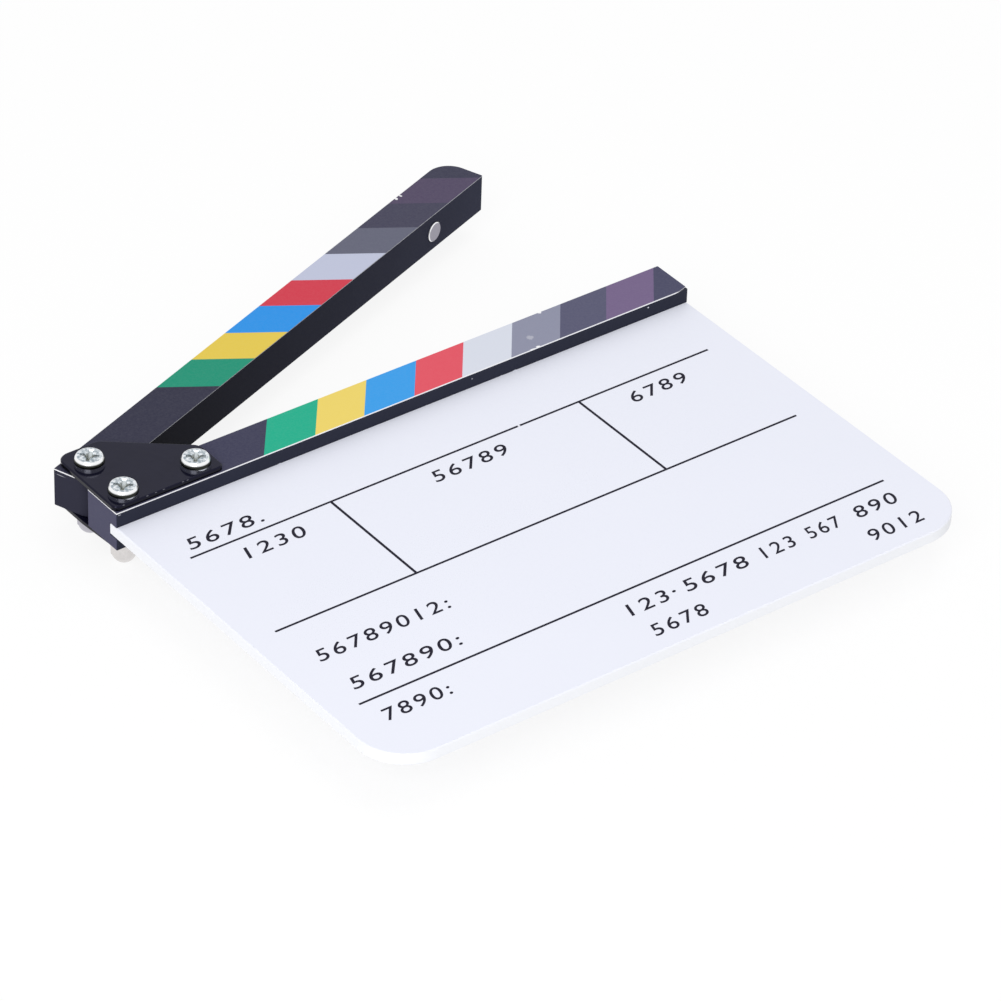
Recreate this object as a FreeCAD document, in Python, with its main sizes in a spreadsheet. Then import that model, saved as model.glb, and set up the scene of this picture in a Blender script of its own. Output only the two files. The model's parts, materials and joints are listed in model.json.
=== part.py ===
import FreeCAD, Part
import math
import os
import Sketcher

# A compact clapperboard lying on its back, in millimetres.
# The origin is the middle of the board's bottom edge. X runs along the lower stick, away from
# the hinge, Y runs up the board to the sticks, and Z comes out of the board's written face.
# The upper stick is stored open, turned about the pivot screw.

SIZES = [
    ("slate_width", 160.0, "board and lower stick, end to end"),
    ("board_height", 103.0, "board showing below the lower stick"),
    ("board_thickness", 3.0, "acrylic sheet"),
    ("board_corner_radius", 12.0, "two lower corners of the board"),
    ("board_edge_break", 0.25, "chamfer round both faces of the board"),
    ("groove_depth", 2.5, "how far the board goes into the lower stick"),
    ("groove_clearance", 0.05, "room on each face of the board in the groove"),
    ("stick_width", 11.5, "both sticks, from the board side to the outer side"),
    ("front_lip", 3.6, "lower stick in front of the groove"),
    ("rear_lip", 3.1, "lower stick behind the groove"),
    ("stick_corner_radius", 0.2, "square corners of the sticks"),
    ("stick_edge_break", 0.12, "chamfer round the sticks' rear faces"),
    ("label_thickness", 0.2, "printed film on the sticks"),
    ("label_cut_along", 3.0, "lower film's free corner beside the board, cut back along the stick"),
    ("label_cut_across", 0.9, "the same cut, across the stick"),
    ("label_end_radius", 5.0, "where that cut begins"),
    ("upper_end_setback", 2.5, "upper stick's free end from the lower stick's, when shut"),
    ("upper_end_radius", 5.7, "upper stick's free outer corner"),
    ("heel_radius", 4.5, "upper stick's corner that swings past the lower stick"),
    ("stick_gap", 1.5, "between the two sticks when shut"),
    ("rest_opening", 20.5, "angle of the upper stick as stored, in degrees"),
    ("pivot_from_end", 5.0, "pivot and corner screws from the sticks' hinge end"),
    ("pivot_from_inner_face", 5.3, "pivot from the upper stick's striking face"),
    ("screw_wall", 0.2, "least wall between the groove and the fixed screws"),
    ("outer_screw_from_end", 24.25, "outer screw from the lower stick's hinge end"),
    ("plate_thickness", 1.2, "both hinge plates"),
    ("plate_running_clearance", 0.1, "upper stick to each hinge plate"),
    ("plate_board_inset", 0.6, "front plate from the lower stick's board side"),
    ("plate_nose_margin", 4.95, "plates beyond the outer screw"),
    ("plate_nose_height", 9.8, "plates' end over the lower stick"),
    ("plate_pivot_margin", 6.1, "plates' top edge beyond the pivot"),
    ("plate_foot_radius", 1.5, "plates' two corners beside the board"),
    ("plate_top_radius", 3.0, "plates' other corners"),
    ("plate_edge_break", 0.3, "chamfer of the plates' outer rim"),
    ("rear_plate_board_inset", 1.8, "rear plate from the lower stick's board side"),
    ("rear_plate_clip_width", 0.95, "rear plate's hinge end, clipped along its foot"),
    ("rear_plate_clip_height", 12.2, "rear plate's hinge end, clipped up from its foot"),
    ("screw_diameter", 4.0, "shank of the three screws"),
    ("screw_clearance", 0.05, "radial room round a shank"),
    ("screw_tip_chamfer", 0.5, "end of the shank"),
    ("head_diameter", 7.0, "pan head"),
    ("head_height", 2.0, "pan head"),
    ("head_side", 1.0, "straight side of the pan head, below its round shoulder"),
    ("head_flat", 6.0, "flat top of the pan head"),
    ("recess_span", 4.4, "cross recess at the top of the head, wing to wing"),
    ("recess_floor_span", 1.8, "cross recess at its floor, wing to wing"),
    ("recess_wing", 0.9, "width of a wing"),
    ("recess_core", 2.4, "cone where the wings meet, at the top of the head"),
    ("recess_depth", 1.6, "cross recess"),
    ("pivot_screw_turn", 45.0, "cross recess of the pivot screw from X, in degrees"),
    ("corner_screw_turn", 50.0, "cross recess of the corner screw from X, in degrees"),
    ("outer_screw_turn", 54.0, "cross recess of the outer screw from X, in degrees"),
    ("nut_flats", 6.0, "cap nut across flats"),
    ("nut_height", 3.4, "hexagon of the cap nut"),
    ("nut_chamfer", 0.35, "drop of the hexagon's corners"),
    ("nut_shoulder", 0.1, "from the hexagon's flats in to the cap"),
    ("dome_height", 2.8, "cap of the nut above the hexagon"),
    ("nut_bore_depth", 3.8, "blind bore of the cap nut"),
    ("nut_end_clearance", 0.2, "from the screw's tip to the end of the nut's bore"),
    ("magnet_diameter", 5.0, "disc magnet in each stick"),
    ("magnet_thickness", 3.0, "disc magnet"),
    ("magnet_proud", 0.4, "how far each magnet stands out of its stick"),
    ("magnet_clearance", 0.05, "radial room round a magnet"),
    ("magnet_edge_break", 0.2, "chamfer of a magnet's rims"),
    ("magnet_from_free_end", 23.65, "magnets from the lower stick's free end, when shut"),
]

# Places and levels worked out from the sizes, as expressions.
HINGE_END = "(-Sizes.slate_width / 2)"
FREE_END = "(Sizes.slate_width / 2)"
STICK_FRONT = "(Sizes.board_thickness / 2 + Sizes.groove_clearance + Sizes.front_lip)"
LABEL_FRONT = f"({STICK_FRONT} + Sizes.label_thickness)"
STICK_REAR = "(-Sizes.board_thickness / 2 - Sizes.groove_clearance - Sizes.rear_lip)"
STICK_MIDDLE = f"(({LABEL_FRONT} + {STICK_REAR}) / 2)"
SCREW_HOLE = "(Sizes.screw_diameter / 2 + Sizes.screw_clearance)"
FIXED_SCREW_RISE = f"(Sizes.groove_depth + Sizes.screw_wall + {SCREW_HOLE})"
FIXED_SCREW_Y = f"(Sizes.board_height + {FIXED_SCREW_RISE})"
CORNER_SCREW_X = f"({HINGE_END} + Sizes.pivot_from_end)"
OUTER_SCREW_X = f"({HINGE_END} + Sizes.outer_screw_from_end)"
INNER_FACE_RISE = "(Sizes.stick_width + Sizes.stick_gap)"
PIVOT_X = CORNER_SCREW_X
PIVOT_RISE = f"({INNER_FACE_RISE} + Sizes.pivot_from_inner_face)"
PIVOT_Y = f"(Sizes.board_height + {PIVOT_RISE})"
GRIP = f"({LABEL_FRONT} - {STICK_REAR} + 2 * Sizes.plate_thickness)"
SCREW_LENGTH = f"({GRIP} + Sizes.nut_bore_depth - Sizes.nut_end_clearance)"
MAGNET_HOLE = "(Sizes.magnet_diameter / 2 + Sizes.magnet_clearance)"
MAGNET_SEAT = "(Sizes.magnet_thickness - Sizes.magnet_proud)"
MAGNET_X = f"({FREE_END} - Sizes.magnet_from_free_end)"

# The upper stick's own frame has the pivot at its origin and the stick along X.
UPPER_HINGE_END = "(-Sizes.pivot_from_end)"
UPPER_FREE_END = f"({FREE_END} - Sizes.upper_end_setback - {PIVOT_X})"
UPPER_INNER = "(-Sizes.pivot_from_inner_face)"
UPPER_OUTER = "(Sizes.stick_width - Sizes.pivot_from_inner_face)"
UPPER_REAR = f"({STICK_REAR} + Sizes.plate_running_clearance)"
UPPER_FRONT = f"({STICK_FRONT} - Sizes.plate_running_clearance)"
UPPER_MAGNET_X = f"({MAGNET_X} - {PIVOT_X})"

X_AXIS = FreeCAD.Vector(1, 0, 0)
Z_AXIS = FreeCAD.Vector(0, 0, 1)
HALF_TURN = 180.0
FULL_TURN = 360.0
NEAR = 1e-4

doc = FreeCAD.newDocument("clapperboard")
sheet = doc.addObject("Spreadsheet::Sheet", "Sizes")
for row, (alias, value, meaning) in enumerate(SIZES, 1):
    sheet.set(f"A{row}", alias)
    sheet.set(f"B{row}", str(value))
    sheet.set(f"C{row}", meaning)
    sheet.setAlias(f"B{row}", alias)
doc.recompute()


def number(expression):
    """The value of an expression on the sheet."""
    return float(sheet.evalExpression(expression))


def new_body(label):
    """An empty body that is one piece of the clapperboard."""
    body = doc.addObject("PartDesign::Body", label)
    body.Label = label
    return body


def place(body, x, y, z, turn=None):
    """Put a body's own origin at a point, with its turn bound to the sheet where it has one."""
    for axis, expression in zip("xyz", (x, y, z)):
        body.setExpression(f"Placement.Base.{axis}", expression)
    if turn:
        body.setExpression("Placement.Rotation.Angle", turn)


def new_sketch(body, plane, level="0"):
    """A sketch on one of the body's own planes, moved along that plane's normal."""
    sketch = body.newObject("Sketcher::SketchObject", f"{body.Label}_sketch")
    support = [item for item in body.Origin.OriginFeatures if item.Role == plane][0]
    sketch.AttachmentSupport = [(support, "")]
    sketch.MapMode = "FlatFace"
    sketch.setExpression("AttachmentOffset.Base.z", level)
    return sketch


def pin(sketch, item, point, place_x, place_y):
    """Hold a point of the sketch at a place given by two expressions."""
    for kind, expression in (("DistanceX", place_x), ("DistanceY", place_y)):
        rule = Sketcher.Constraint(kind, -1, 1, item, point, number(expression))
        index = sketch.addConstraint(rule)
        sketch.setExpression(f"Constraints[{index}]", expression)


def polygon(sketch, corners):
    """A closed outline of straight lines through the corners, in order."""
    points = [FreeCAD.Vector(number(x), number(y), 0) for x, y in corners]
    count = len(points)
    first = sketch.GeometryCount
    for i in range(count):
        sketch.addGeometry(Part.LineSegment(points[i], points[(i + 1) % count]))
    for i in range(count):
        following = first + (i + 1) % count
        sketch.addConstraint(Sketcher.Constraint("Coincident", first + i, 2, following, 1))
        pin(sketch, first + i, 1, *corners[i])


def circle(sketch, x, y, radius):
    """A circle with its centre and radius bound to the sheet."""
    centre = FreeCAD.Vector(number(x), number(y), 0)
    item = sketch.addGeometry(Part.Circle(centre, Z_AXIS, number(radius)))
    pin(sketch, item, 3, x, y)
    index = sketch.addConstraint(Sketcher.Constraint("Radius", item, number(radius)))
    sketch.setExpression(f"Constraints[{index}]", radius)


def arc(sketch, centre_x, centre_y, start, end):
    """An arc, counter-clockwise, with its centre and its ends bound to the sheet."""
    centre = FreeCAD.Vector(number(centre_x), number(centre_y), 0)
    first = FreeCAD.Vector(number(start[0]), number(start[1]), 0) - centre
    last = FreeCAD.Vector(number(end[0]), number(end[1]), 0) - centre
    whole = Part.Circle(centre, Z_AXIS, first.Length)
    first_angle = math.atan2(first.y, first.x)
    last_angle = math.atan2(last.y, last.x)
    item = sketch.addGeometry(Part.ArcOfCircle(whole, first_angle, last_angle))
    pin(sketch, item, 1, *start)
    pin(sketch, item, 2, *end)
    # One coordinate of the centre is enough: the two ends settle the rest.
    rule = Sketcher.Constraint("DistanceX", -1, 1, item, 3, number(centre_x))
    index = sketch.addConstraint(rule)
    sketch.setExpression(f"Constraints[{index}]", centre_x)


def line(sketch, start, end):
    """A straight line with its ends bound to the sheet."""
    points = [FreeCAD.Vector(number(x), number(y), 0) for x, y in (start, end)]
    item = sketch.addGeometry(Part.LineSegment(*points))
    pin(sketch, item, 1, *start)
    pin(sketch, item, 2, *end)


def pad(body, sketch, length, down=False):
    """Extrude a sketch along its normal, or against it."""
    feature = body.newObject("PartDesign::Pad", f"{body.Label}_pad")
    feature.Profile = sketch
    feature.setExpression("Length", length)
    feature.Reversed = down
    doc.recompute()
    return feature


def pocket(body, sketch, depth, along_normal=False, both_ways=False):
    """Cut a sketch into the body, and make sure that it took something away."""
    before = body.Shape.Volume
    feature = body.newObject("PartDesign::Pocket", f"{body.Label}_pocket")
    feature.Profile = sketch
    feature.setExpression("Length", depth)
    feature.Reversed = along_normal
    if both_ways:
        feature.SideType = "Symmetric"
    doc.recompute()
    if body.Shape.Volume > before - NEAR:
        raise RuntimeError(f"a pocket of {body.Label} cuts nothing")
    return feature


def upright_edges(shape, x, y):
    """Names of the edges along Z that stand at a place in plan."""
    found = []
    for index, edge in enumerate(shape.Edges, 1):
        box = edge.BoundBox
        thin = box.XLength < NEAR and box.YLength < NEAR
        if thin and abs(box.Center.x - x) < NEAR and abs(box.Center.y - y) < NEAR:
            found.append(f"Edge{index}")
    return found


def rim_edges(shape, level):
    """Names of the edges round the outside of the flat face at a level."""
    rim = []
    for face in shape.Faces:
        box = face.BoundBox
        if box.ZLength < NEAR and abs(box.Center.z - level) < NEAR:
            rim.extend(face.OuterWire.Edges)
    return [f"Edge{i}" for i, edge in enumerate(shape.Edges, 1) if any(edge.isSame(r) for r in rim)]


def round_corner(body, x, y, radius):
    """Fillet the upright edges of a body at one corner of its plan."""
    base = body.Tip
    edges = upright_edges(body.Shape, number(x), number(y))
    feature = body.newObject("PartDesign::Fillet", f"{body.Label}_corner")
    feature.Base = (base, edges)
    feature.setExpression("Radius", radius)
    doc.recompute()


def break_rim(body, levels, size):
    """Chamfer the rims of the flat faces at the given levels."""
    base = body.Tip
    edges = []
    for level in levels:
        edges.extend(rim_edges(body.Shape, number(level)))
    feature = body.newObject("PartDesign::Chamfer", f"{body.Label}_rim")
    feature.Base = (base, edges)
    feature.setExpression("Size", size)
    doc.recompute()


def screw_holes(body, top, depth, places):
    """Round holes for the screws, cut down from a level."""
    sketch = new_sketch(body, "XY_Plane", top)
    for x, y in places:
        circle(sketch, x, y, SCREW_HOLE)
    pocket(body, sketch, depth)


def rectangle(left, right, low, high):
    """The four corners of an upright rectangle, counter-clockwise."""
    return [(left, low), (right, low), (right, high), (left, high)]


def make_board():
    """The white acrylic board, with its top edge running on into the lower stick's groove."""
    body = new_body("slate_board")
    rear = "(-Sizes.board_thickness / 2)"
    front = "(Sizes.board_thickness / 2)"
    sketch = new_sketch(body, "XY_Plane", rear)
    top = "(Sizes.board_height + Sizes.groove_depth)"
    polygon(sketch, rectangle(HINGE_END, FREE_END, "0", top))
    pad(body, sketch, "Sizes.board_thickness")
    for x in (HINGE_END, FREE_END):
        round_corner(body, x, "0", "Sizes.board_corner_radius")
    break_rim(body, (rear, front), "Sizes.board_edge_break")
    return body


def lower_corners(body):
    """The lower stick's three corners in plan that the film shares."""
    for x, y in ((HINGE_END, "0"), (HINGE_END, "Sizes.stick_width"), (FREE_END, "Sizes.stick_width")):
        round_corner(body, x, y, "Sizes.stick_corner_radius")


def lower_screw_places():
    """The two fixed screws, in the lower stick's own frame."""
    return [(CORNER_SCREW_X, FIXED_SCREW_RISE), (OUTER_SCREW_X, FIXED_SCREW_RISE)]


def make_lower_stick():
    """The fixed stick: a bar with a groove for the board all along its lower side."""
    body = new_body("lower_stick")
    sketch = new_sketch(body, "YZ_Plane", HINGE_END)
    groove_half = "(Sizes.board_thickness / 2 + Sizes.groove_clearance)"
    polygon(sketch, [
        ("0", STICK_REAR),
        ("Sizes.stick_width", STICK_REAR),
        ("Sizes.stick_width", STICK_FRONT),
        ("0", STICK_FRONT),
        ("0", groove_half),
        ("Sizes.groove_depth", groove_half),
        ("Sizes.groove_depth", f"(-{groove_half})"),
        ("0", f"(-{groove_half})"),
    ])
    pad(body, sketch, "Sizes.slate_width")
    lower_corners(body)
    round_corner(body, FREE_END, "0", "Sizes.stick_corner_radius")
    break_rim(body, (STICK_REAR,), "Sizes.stick_edge_break")
    screw_holes(body, STICK_FRONT, f"{STICK_FRONT} - {STICK_REAR}", lower_screw_places())
    # The XZ plane's normal points to -Y, so its level is counted that way.
    seat = new_sketch(body, "XZ_Plane", "-Sizes.stick_width")
    circle(seat, MAGNET_X, STICK_MIDDLE, MAGNET_HOLE)
    pocket(body, seat, MAGNET_SEAT, along_normal=True)
    place(body, "0", "Sizes.board_height", "0")
    return body


def make_lower_label():
    """The printed film on the lower stick's front, with its free corner by the board cut off."""
    body = new_body("lower_stick_label")
    sketch = new_sketch(body, "XY_Plane", STICK_FRONT)
    cut_start = f"({FREE_END} - Sizes.label_cut_along)"
    polygon(sketch, [
        (HINGE_END, "0"),
        (cut_start, "0"),
        (FREE_END, "Sizes.label_cut_across"),
        (FREE_END, "Sizes.stick_width"),
        (HINGE_END, "Sizes.stick_width"),
    ])
    pad(body, sketch, "Sizes.label_thickness")
    lower_corners(body)
    round_corner(body, cut_start, "0", "Sizes.label_end_radius")
    round_corner(body, FREE_END, "Sizes.label_cut_across", "Sizes.stick_corner_radius")
    screw_holes(body, LABEL_FRONT, "Sizes.label_thickness", lower_screw_places())
    place(body, "0", "Sizes.board_height", "0")
    return body


def upper_corners(body):
    """The upper stick's corners in plan: a rounded heel at the pivot and a round free end."""
    for x, y, radius in (
        (UPPER_HINGE_END, UPPER_INNER, "Sizes.heel_radius"),
        (UPPER_HINGE_END, UPPER_OUTER, "Sizes.stick_corner_radius"),
        (UPPER_FREE_END, UPPER_INNER, "Sizes.stick_corner_radius"),
        (UPPER_FREE_END, UPPER_OUTER, "Sizes.upper_end_radius"),
    ):
        round_corner(body, x, y, radius)


def make_upper_stick():
    """The hinged stick, which runs between the two hinge plates on the pivot screw."""
    body = new_body("upper_stick")
    sketch = new_sketch(body, "XY_Plane", UPPER_REAR)
    depth = f"({UPPER_FRONT} - {UPPER_REAR})"
    polygon(sketch, rectangle(UPPER_HINGE_END, UPPER_FREE_END, UPPER_INNER, UPPER_OUTER))
    pad(body, sketch, depth)
    upper_corners(body)
    break_rim(body, (UPPER_REAR,), "Sizes.stick_edge_break")
    screw_holes(body, UPPER_FRONT, depth, [("0", "0")])
    seat = new_sketch(body, "XZ_Plane", "Sizes.pivot_from_inner_face")
    circle(seat, UPPER_MAGNET_X, STICK_MIDDLE, MAGNET_HOLE)
    pocket(body, seat, MAGNET_SEAT)
    place(body, PIVOT_X, PIVOT_Y, "0", "Sizes.rest_opening")
    return body


def make_upper_label():
    """The printed film on the upper stick's front."""
    body = new_body("upper_stick_label")
    sketch = new_sketch(body, "XY_Plane", UPPER_FRONT)
    polygon(sketch, rectangle(UPPER_HINGE_END, UPPER_FREE_END, UPPER_INNER, UPPER_OUTER))
    pad(body, sketch, "Sizes.label_thickness")
    upper_corners(body)
    top = f"({UPPER_FRONT} + Sizes.label_thickness)"
    screw_holes(body, top, "Sizes.label_thickness", [("0", "0")])
    place(body, PIVOT_X, PIVOT_Y, "0", "Sizes.rest_opening")
    return body


def make_hinge_plate(label, level, behind):
    """A clipped triangle of sheet metal over the three screws, with its outer rim broken."""
    body = new_body(label)
    left = HINGE_END
    nose = f"({OUTER_SCREW_X} + Sizes.plate_nose_margin)"
    shoulder = f"({PIVOT_X} + Sizes.plate_pivot_margin)"
    foot = "Sizes.rear_plate_board_inset" if behind else "Sizes.plate_board_inset"
    nose_top = "(Sizes.plate_board_inset + Sizes.plate_nose_height)"
    top = f"({INNER_FACE_RISE} + Sizes.stick_width)"
    top_corners = [(nose, nose_top), (shoulder, top), (left, top)]
    foot_corners = [(left, foot), (nose, foot)]
    outline = top_corners + foot_corners
    if behind:
        # The rear plate's hinge end leans in towards its foot.
        foot_corners[0] = (f"({left} + Sizes.rear_plate_clip_width)", foot)
        clip_top = (left, f"({foot} + Sizes.rear_plate_clip_height)")
        outline = top_corners + [clip_top] + foot_corners
    sketch = new_sketch(body, "XY_Plane", level)
    polygon(sketch, outline)
    pad(body, sketch, "Sizes.plate_thickness", down=behind)
    for x, y in foot_corners:
        round_corner(body, x, y, "Sizes.plate_foot_radius")
    for x, y in top_corners:
        round_corner(body, x, y, "Sizes.plate_top_radius")
    outer = f"({level} {'-' if behind else '+'} Sizes.plate_thickness)"
    break_rim(body, (outer,), "Sizes.plate_edge_break")
    places = lower_screw_places() + [(PIVOT_X, PIVOT_RISE)]
    screw_holes(body, level if behind else outer, "Sizes.plate_thickness", places)
    place(body, "0", "Sizes.board_height", "0")
    return body


def turn_about_axis(body, profile):
    """Revolve a profile about its own upright axis."""
    feature = body.newObject("PartDesign::Revolution", f"{body.Label}_turned")
    feature.Profile = profile
    feature.ReferenceAxis = (profile, ["V_Axis"])
    feature.Angle = FULL_TURN
    doc.recompute()


def turned_cut(body, profile):
    """Revolve a profile about its own upright axis and cut it away, and make sure that it cut."""
    before = body.Shape.Volume
    feature = body.newObject("PartDesign::Groove", f"{body.Label}_turned_cut")
    feature.Profile = profile
    feature.ReferenceAxis = (profile, ["V_Axis"])
    feature.Angle = FULL_TURN
    doc.recompute()
    if body.Shape.Volume > before - NEAR:
        raise RuntimeError(f"a turned cut of {body.Label} takes nothing away")


def make_screw(label, x, y, turn):
    """A pan-head screw with a tapering cross recess: the origin is under its head."""
    body = new_body(label)
    shank = "(Sizes.screw_diameter / 2)"
    tip = f"(-{SCREW_LENGTH})"
    tip_start = f"(Sizes.screw_tip_chamfer - {SCREW_LENGTH})"
    tip_radius = f"({shank} - Sizes.screw_tip_chamfer)"
    head = "(Sizes.head_diameter / 2)"
    flat = "(Sizes.head_flat / 2)"
    profile = new_sketch(body, "XZ_Plane")
    path = [
        (flat, "Sizes.head_height"),
        ("0", "Sizes.head_height"),
        ("0", tip),
        (tip_radius, tip),
        (shank, tip_start),
        (shank, "0"),
        (head, "0"),
        (head, "Sizes.head_side"),
    ]
    for start, end in zip(path, path[1:]):
        line(profile, start, end)
    # The shoulder is part of a ball on the screw's axis, through the flat's rim and the side's.
    squares = f"({flat} ^ 2 + Sizes.head_height ^ 2 - {head} ^ 2 - Sizes.head_side ^ 2)"
    ball_centre = f"({squares} / (2 * (Sizes.head_height - Sizes.head_side)))"
    arc(profile, "0", ball_centre, path[-1], path[0])
    turn_about_axis(body, profile)
    # Two slots with sloping ends cross in the recess.
    mouth = "(Sizes.recess_span / 2)"
    floor = "(Sizes.recess_floor_span / 2)"
    floor_level = "(Sizes.head_height - Sizes.recess_depth)"
    for plane in ("XZ_Plane", "YZ_Plane"):
        slot = new_sketch(body, plane)
        polygon(slot, [
            (f"(-{floor})", floor_level),
            (floor, floor_level),
            (mouth, "Sizes.head_height"),
            (f"(-{mouth})", "Sizes.head_height"),
        ])
        pocket(body, slot, "Sizes.recess_wing", both_ways=True)
    core = new_sketch(body, "XZ_Plane")
    polygon(core, [
        ("0", floor_level),
        ("(Sizes.recess_wing / 2)", floor_level),
        ("(Sizes.recess_core / 2)", "Sizes.head_height"),
        ("0", "Sizes.head_height"),
    ])
    turned_cut(body, core)
    place(body, x, y, f"{LABEL_FRONT} + Sizes.plate_thickness", turn)
    return body


def hexagon(flats):
    """The six corners of a hexagon with two flats along X."""
    half = f"({flats} / 2)"
    corner = f"({flats} / sqrt(3))"
    far = f"({flats} / sqrt(3) / 2)"
    return [
        (corner, "0"), (far, half), (f"(-{far})", half),
        (f"(-{corner})", "0"), (f"(-{far})", f"(-{half})"), (far, f"(-{half})"),
    ]


def make_cap_nut(label, x, y):
    """A hexagon cap nut, seat down in its own frame and turned over behind the rear plate."""
    body = new_body(label)
    base = new_sketch(body, "XY_Plane")
    polygon(base, hexagon("Sizes.nut_flats"))
    pad(body, base, "Sizes.nut_height")
    # The turned chamfer takes the hexagon's corners down on the cap's side.
    corner = "(Sizes.nut_flats / sqrt(3))"
    flat = "(Sizes.nut_flats / 2)"
    cut = new_sketch(body, "XZ_Plane")
    chamfer_start = "(Sizes.nut_height - Sizes.nut_chamfer)"
    polygon(cut, [
        (flat, "Sizes.nut_height"),
        (corner, chamfer_start),
        (f"({corner} + Sizes.nut_chamfer)", chamfer_start),
        (f"({corner} + Sizes.nut_chamfer)", "Sizes.nut_height"),
    ])
    turned_cut(body, cut)
    dome = new_sketch(body, "XZ_Plane")
    dome_radius = f"({flat} - Sizes.nut_shoulder)"
    rim = (dome_radius, "Sizes.nut_height")
    crown = ("0", "(Sizes.nut_height + Sizes.dome_height)")
    middle = ("0", "Sizes.nut_height")
    line(dome, crown, middle)
    line(dome, middle, rim)
    ball = f"(({dome_radius} ^ 2 + Sizes.dome_height ^ 2) / (2 * Sizes.dome_height))"
    arc(dome, "0", f"({crown[1]} - {ball})", rim, crown)
    turn_about_axis(body, dome)
    mouth = new_sketch(body, "XY_Plane")
    circle(mouth, "0", "0", SCREW_HOLE)
    pocket(body, mouth, "Sizes.nut_bore_depth", along_normal=True)
    body.Placement = FreeCAD.Placement(FreeCAD.Vector(), FreeCAD.Rotation(X_AXIS, HALF_TURN))
    place(body, x, y, f"{STICK_REAR} - Sizes.plate_thickness")
    return body


def make_magnet(label):
    """A disc magnet standing on its seat, with both rims broken."""
    body = new_body(label)
    sketch = new_sketch(body, "XZ_Plane")
    circle(sketch, "0", "0", "Sizes.magnet_diameter / 2")
    pad(body, sketch, "Sizes.magnet_thickness")
    base = body.Tip
    rims = [f"Edge{i}" for i, edge in enumerate(body.Shape.Edges, 1) if edge.isClosed()]
    chamfer = body.newObject("PartDesign::Chamfer", f"{label}_rim")
    chamfer.Base = (base, rims)
    chamfer.setExpression("Size", "Sizes.magnet_edge_break")
    doc.recompute()
    return body


def make_lower_magnet():
    """The magnet in the lower stick's striking face."""
    body = make_magnet("lower_magnet")
    y = "Sizes.board_height + Sizes.stick_width + Sizes.magnet_proud"
    place(body, MAGNET_X, y, STICK_MIDDLE)
    return body


def make_upper_magnet():
    """The magnet in the upper stick's striking face, which turns with that stick."""
    body = make_magnet("upper_magnet")
    # From the pivot to the magnet's seat, along the stick and across it.
    along = UPPER_MAGNET_X
    across = f"({MAGNET_SEAT} - Sizes.pivot_from_inner_face)"
    cosine = "cos(Sizes.rest_opening * 1 deg)"
    sine = "sin(Sizes.rest_opening * 1 deg)"
    x = f"{PIVOT_X} + {along} * {cosine} - {across} * {sine}"
    y = f"{PIVOT_Y} + {along} * {sine} + {across} * {cosine}"
    place(body, x, y, STICK_MIDDLE, "Sizes.rest_opening")
    return body


def make_fasteners():
    """The three screws from the front, each with a cap nut behind the rear plate."""
    made = []
    for name, x, y in (
        ("pivot", PIVOT_X, PIVOT_Y),
        ("corner", CORNER_SCREW_X, FIXED_SCREW_Y),
        ("outer", OUTER_SCREW_X, FIXED_SCREW_Y),
    ):
        made.append(make_screw(f"{name}_screw", x, y, f"Sizes.{name}_screw_turn"))
        made.append(make_cap_nut(f"{name}_cap_nut", x, y))
    return made


pieces = [
    make_board(),
    make_lower_stick(),
    make_lower_label(),
    make_upper_stick(),
    make_upper_label(),
    make_hinge_plate("front_hinge_plate", LABEL_FRONT, behind=False),
    make_hinge_plate("rear_hinge_plate", STICK_REAR, behind=True),
    make_lower_magnet(),
    make_upper_magnet(),
]
pieces.extend(make_fasteners())
doc.recompute()

failed = [item.Label for item in doc.Objects if {"Invalid", "Error"} & set(item.State)]
if failed:
    raise RuntimeError("failed objects: " + ", ".join(failed))
for piece in pieces:
    shape = piece.Shape
    if shape.isNull() or not shape.isValid() or len(shape.Solids) != 1:
        raise RuntimeError(f"{piece.Label} is not one valid solid")

os.makedirs("parts", exist_ok=True)
for piece in pieces:
    piece.Shape.exportStep(os.path.join("parts", f"{piece.Label}.step"))
    box = piece.Shape.BoundBox
    print(f"{piece.Label}: {piece.Shape.Volume:.1f} mm3, X {box.XMin:.2f} to {box.XMax:.2f}, "
          f"Y {box.YMin:.2f} to {box.YMax:.2f}, Z {box.ZMin:.2f} to {box.ZMax:.2f}")
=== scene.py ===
import json
import math

import bmesh
import bpy
from mathutils import Matrix, Quaternion, Vector


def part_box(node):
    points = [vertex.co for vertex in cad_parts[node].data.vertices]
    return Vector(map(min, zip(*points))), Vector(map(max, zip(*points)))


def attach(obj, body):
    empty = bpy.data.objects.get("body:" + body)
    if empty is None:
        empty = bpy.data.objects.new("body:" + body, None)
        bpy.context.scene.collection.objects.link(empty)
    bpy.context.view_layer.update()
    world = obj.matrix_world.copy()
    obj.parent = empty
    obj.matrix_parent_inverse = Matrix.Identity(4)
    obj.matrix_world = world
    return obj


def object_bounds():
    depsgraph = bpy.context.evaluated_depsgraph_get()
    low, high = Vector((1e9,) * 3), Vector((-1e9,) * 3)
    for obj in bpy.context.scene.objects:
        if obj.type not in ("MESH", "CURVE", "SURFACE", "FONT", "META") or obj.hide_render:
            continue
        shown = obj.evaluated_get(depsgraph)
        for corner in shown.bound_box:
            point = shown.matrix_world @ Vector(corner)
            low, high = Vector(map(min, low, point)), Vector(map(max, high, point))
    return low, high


# A compact clapperboard: a white board in a grooved stick, and a striped stick that swings on a
# screwed plate hinge. A length times MM is in metres, and colours are linear red, green and blue.

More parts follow.
